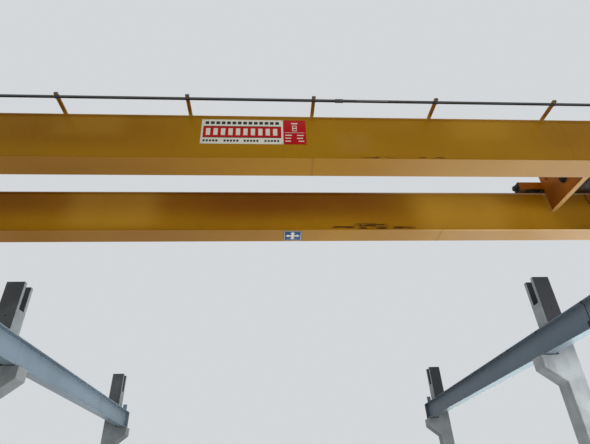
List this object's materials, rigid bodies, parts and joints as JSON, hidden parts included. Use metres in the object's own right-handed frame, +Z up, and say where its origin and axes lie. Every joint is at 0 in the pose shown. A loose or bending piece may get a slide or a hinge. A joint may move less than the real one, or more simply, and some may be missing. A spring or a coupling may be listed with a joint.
{
  "type": "overhead bridge crane on its runway and columns",
  "caption": "Double-girder travelling crane with a trolley hoist, on a steel runway carried by forked concrete columns",
  "frame": {"origin": "on the ground, at the middle of the plan of the six columns", "axes": "+X across the hall, to the right seen from the picture's side; +Y along the runway, away from that side; +Z up"},
  "size_m": [18.6, 24.6, 8.2],
  "materials": {
    "concrete": "cast concrete, fair faced",
    "runway_paint": "blue-grey paint, satin",
    "galvanised_steel": "dull zinc",
    "rail_steel": "rolled steel, worn bright on top",
    "crane_paint": "yellow gloss paint",
    "trolley_paint": "orange-yellow gloss paint",
    "wheel_iron": "dark iron, bright tread",
    "motor_paint": "dark blue-grey paint",
    "buffer_rubber": "black rubber",
    "board_white": "white gloss enamel",
    "board_red": "red gloss enamel",
    "plate_blue": "blue gloss enamel",
    "cabinet_paint": "light grey paint",
    "drum_steel": "greased steel",
    "rope_steel": "greased wire",
    "hook_steel": "red paint"
  },
  "bodies": {
    "structure": {"column_left_1": "concrete", "column_left_2": "concrete", "column_left_3": "concrete", "column_right_1": "concrete", "column_right_2": "concrete", "column_right_3": "concrete", "runway_beam_left_1": "runway_paint", "runway_beam_left_2": "runway_paint", "runway_beam_right_1": "runway_paint", "runway_beam_right_2": "runway_paint", "bearing_plates": "galvanised_steel", "runway_ties": "galvanised_steel", "rail_left": "rail_steel", "rail_right": "rail_steel", "end_stops": "runway_paint"},
    "bridge": {"girder_near": "crane_paint", "girder_far": "crane_paint", "trolley_rail_near": "rail_steel", "trolley_rail_far": "rail_steel", "trolley_stops": "crane_paint", "end_carriage_left": "crane_paint", "end_carriage_right": "crane_paint", "bridge_wheels_left": "wheel_iron", "bridge_wheels_right": "wheel_iron", "bridge_drive_left": "motor_paint", "bridge_drive_right": "motor_paint", "bridge_buffers": "buffer_rubber", "festoon_arms": "crane_paint", "festoon_track": "galvanised_steel", "name_board": "board_white", "capacity_board": "board_red", "direction_plate": "plate_blue", "control_cabinet": "cabinet_paint"},
    "trolley": {"trolley_side_near": "trolley_paint", "trolley_side_far": "trolley_paint", "trolley_cross_left": "trolley_paint", "trolley_cross_right": "trolley_paint", "trolley_wheels": "wheel_iron", "trolley_buffers": "buffer_rubber", "trolley_drive": "motor_paint", "hoist_drum": "drum_steel", "drum_bearing": "motor_paint", "hoist_gearbox": "motor_paint", "hoist_motor": "motor_paint", "rope_anchor": "trolley_paint", "hoist_ropes": "rope_steel", "hook_block": "crane_paint", "hook": "hook_steel"}
  },
  "joints": [
    {"name": "bridge_travel", "type": "slide", "parent": "structure", "child": "bridge", "axis": [0, 1, 0], "range_m": [-1.84, 18.14]},
    {"name": "trolley_travel", "type": "slide", "parent": "bridge", "child": "trolley", "axis": [1, 0, 0], "range_m": [-11.91, 1.05]}
  ]
}
